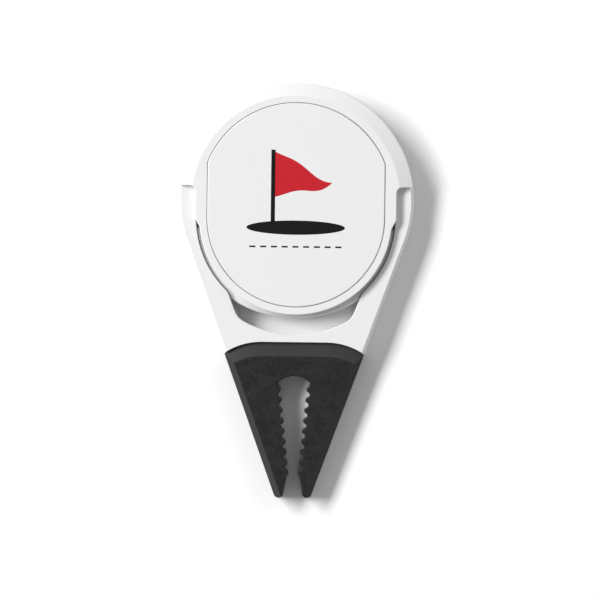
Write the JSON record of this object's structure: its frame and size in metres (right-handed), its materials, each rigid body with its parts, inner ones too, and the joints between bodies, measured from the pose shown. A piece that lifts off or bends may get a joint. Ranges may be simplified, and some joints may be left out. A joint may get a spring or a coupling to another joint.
{
  "type": "divot repair tool",
  "caption": "Teardrop golf divot repair tool: two-tined fork with a toothed slot, sprung hat clip with a lift lip, and a flush lift-out ball marker.",
  "frame": {"origin": "middle of the overall length and width, on the flat back face the tool lies on", "axes": "+Y from the tine tips to the round head, +Z out of the front face, +X to the right seen from the front"},
  "size_m": [0.0432, 0.076, 0.0065],
  "materials": {
    "white_plastic_body": "satin moulded ABS",
    "white_plastic_clip": "satin moulded ABS",
    "black_nylon": "fine spark-eroded matte nylon",
    "screw_steel": "zinc plated",
    "pin_steel": "ground",
    "spring_steel": "drawn wire",
    "magnet_nickel": "nickel plated",
    "marker_white": "matte printed face",
    "keeper_steel": "tin plated"
  },
  "bodies": {
    "body": {"body_frame": "white_plastic_body", "fork": "black_nylon", "fork_screws": "screw_steel", "hinge_pin": "pin_steel", "clip_spring": "spring_steel"},
    "clip": {"clip_plate": "white_plastic_clip", "magnet": "magnet_nickel"},
    "marker": {"ball_marker": "marker_white", "marker_keeper": "keeper_steel"}
  },
  "joints": [
    {"name": "clip_hinge", "type": "hinge", "parent": "body", "child": "clip", "pos_m": [0, 0.0347, 0.0031], "axis": [-1, 0, 0], "range_deg": [0, 10], "stiffness_Nm_per_rad": 0.1, "springref_deg": -20.05, "deforming": ["clip_spring"]},
    {"name": "marker_lift", "type": "slide", "parent": "clip", "child": "marker", "axis": [0, 0, 1], "range_m": [0, 0.012]}
  ]
}
